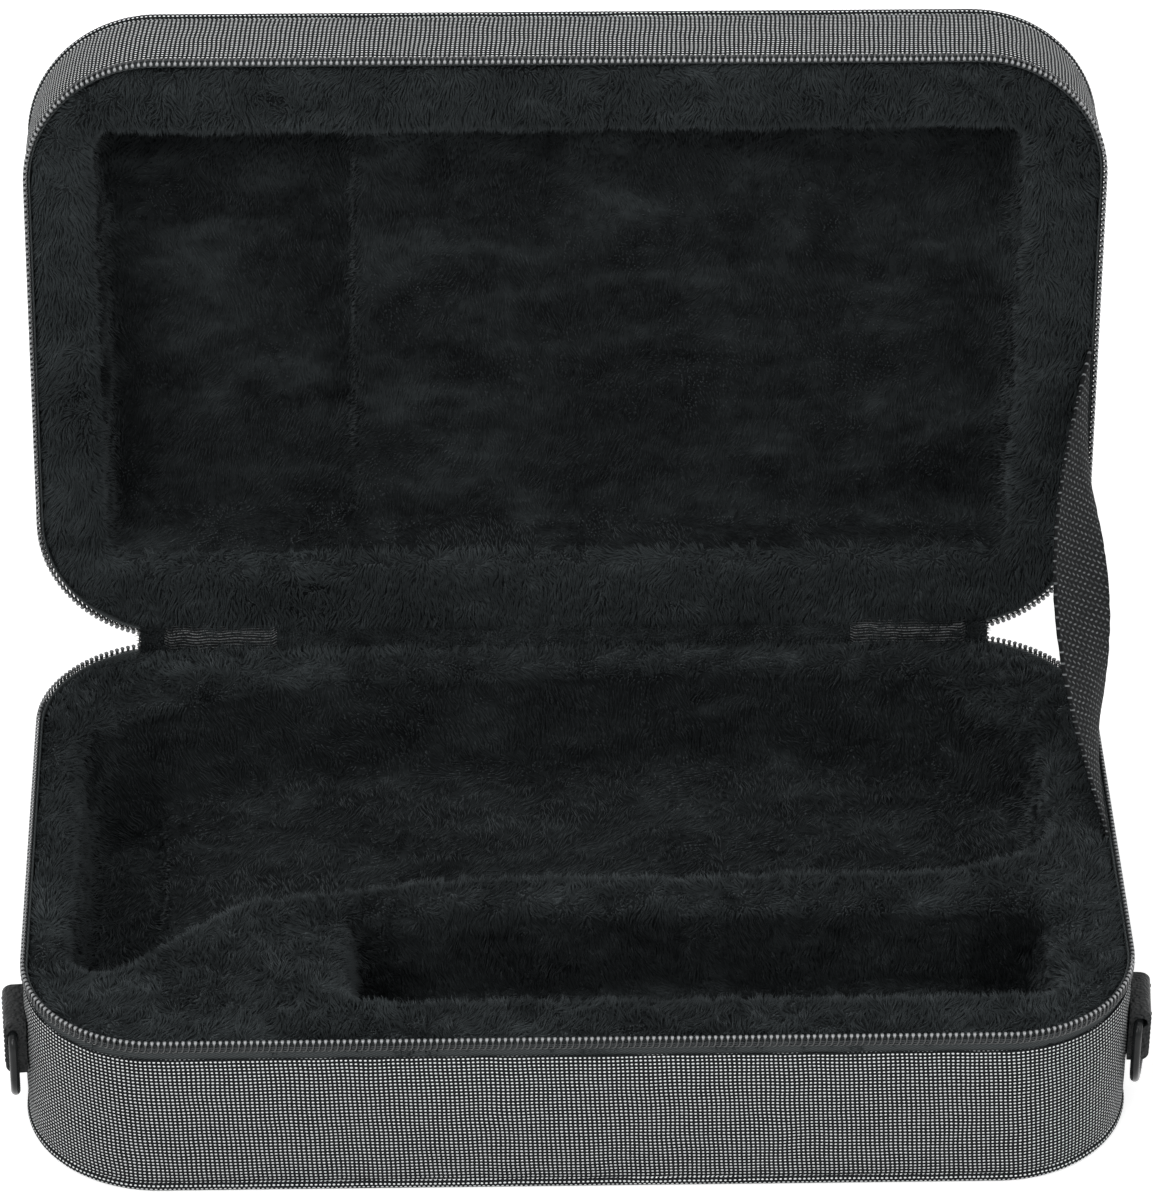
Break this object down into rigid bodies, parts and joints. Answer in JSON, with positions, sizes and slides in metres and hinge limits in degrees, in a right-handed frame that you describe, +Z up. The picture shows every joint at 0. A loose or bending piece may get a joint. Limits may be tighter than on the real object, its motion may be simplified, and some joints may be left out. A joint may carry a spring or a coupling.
{
  "type": "instrument case",
  "caption": "Soft zip-up instrument case with a plush-lined foam base and hinged lid, a stay strap, and a carry ring on each end.",
  "frame": {"origin": "centre of the base's flat underside", "axes": "+X to the case's right along its length, +Y to the hinge at the back, +Z up; the lid is stored open"},
  "size_m": [0.4776, 0.3589, 0.3568],
  "materials": {
    "cover_fabric": "black woven fabric with a grey dotted weave",
    "plush": "black long-pile plush",
    "foam": "white moulded foam, hidden",
    "zip_tape": "black woven tape",
    "zip_coil": "black nylon coil, glossy",
    "webbing": "black ribbed webbing",
    "tab_leatherette": "black leatherette",
    "black_metal": "black coated metal, satin"
  },
  "bodies": {
    "base": {"base_foam": "foam", "base_lining": "plush", "base_side_skin": "cover_fabric", "base_bottom_skin": "cover_fabric", "base_piping": "cover_fabric", "base_zip_tape": "zip_tape", "base_zip_teeth": "zip_coil", "ring_tab_left": "tab_leatherette", "ring_tab_right": "tab_leatherette", "hinge_spine": "cover_fabric", "hinge_band_left": "webbing", "hinge_band_right": "webbing", "stay_strap": "webbing"},
    "lid": {"lid_foam": "foam", "lid_pad": "foam", "lid_lining": "plush", "lid_side_skin": "cover_fabric", "lid_top_skin": "cover_fabric", "lid_piping": "cover_fabric", "lid_zip_tape": "zip_tape", "lid_zip_teeth": "zip_coil"},
    "ring_left": {"ring_left": "black_metal"},
    "zip_end_left": {"zip_end_left": "zip_coil"},
    "zip_slider_left": {"zip_slider_left": "black_metal"},
    "zip_pull_left": {"zip_pull_left": "black_metal"},
    "ring_right": {"ring_right": "black_metal"},
    "zip_end_right": {"zip_end_right": "zip_coil"},
    "zip_slider_right": {"zip_slider_right": "black_metal"},
    "zip_pull_right": {"zip_pull_right": "black_metal"}
  },
  "joints": [
    {"name": "lid_hinge", "type": "hinge", "parent": "base", "child": "lid", "pos_m": [0, 0.139, 0.08], "axis": [1, 0, 0], "range_deg": [0, 96], "deforming": ["stay_strap", "hinge_spine", "hinge_band_left", "hinge_band_right"]},
    {"name": "ring_left_swing", "type": "hinge", "parent": "base", "child": "ring_left", "pos_m": [-0.2343, -0.08693, 0.052], "axis": [-0.0802, 0.9968, 0], "range_deg": [0, 150]},
    {"name": "zip_end_left_fold", "type": "hinge", "parent": "base", "child": "zip_end_left", "pos_m": [-0.165, 0.1367, 0.07483], "axis": [1, 0, 0], "range_deg": [0, 48]},
    {"name": "zip_slider_left_run", "type": "slide", "parent": "zip_end_left", "child": "zip_slider_left", "axis": [-1, 0, 0], "range_m": [0, 0.007]},
    {"name": "zip_pull_left_swing", "type": "hinge", "parent": "zip_slider_left", "child": "zip_pull_left", "pos_m": [-0.1787, 0.14857, 0.06937], "axis": [0, -0.7431, -0.6691], "range_deg": [-80, 80]},
    {"name": "ring_right_swing", "type": "hinge", "parent": "base", "child": "ring_right", "pos_m": [0.2343, -0.08693, 0.052], "axis": [-0.0802, -0.9968, 0], "range_deg": [0, 150]},
    {"name": "zip_end_right_fold", "type": "hinge", "parent": "base", "child": "zip_end_right", "pos_m": [0.165, 0.1367, 0.07483], "axis": [1, 0, 0], "range_deg": [0, 48]},
    {"name": "zip_slider_right_run", "type": "slide", "parent": "zip_end_right", "child": "zip_slider_right", "axis": [1, 0, 0], "range_m": [0, 0.007]},
    {"name": "zip_pull_right_swing", "type": "hinge", "parent": "zip_slider_right", "child": "zip_pull_right", "pos_m": [0.1787, 0.14857, 0.06937], "axis": [0, -0.7431, -0.6691], "range_deg": [-80, 80]}
  ],
  "couplings": [
    {"joint": "zip_end_left_fold", "follows": "lid_hinge", "ratio": 0.5},
    {"joint": "zip_end_right_fold", "follows": "lid_hinge", "ratio": 0.5}
  ]
}
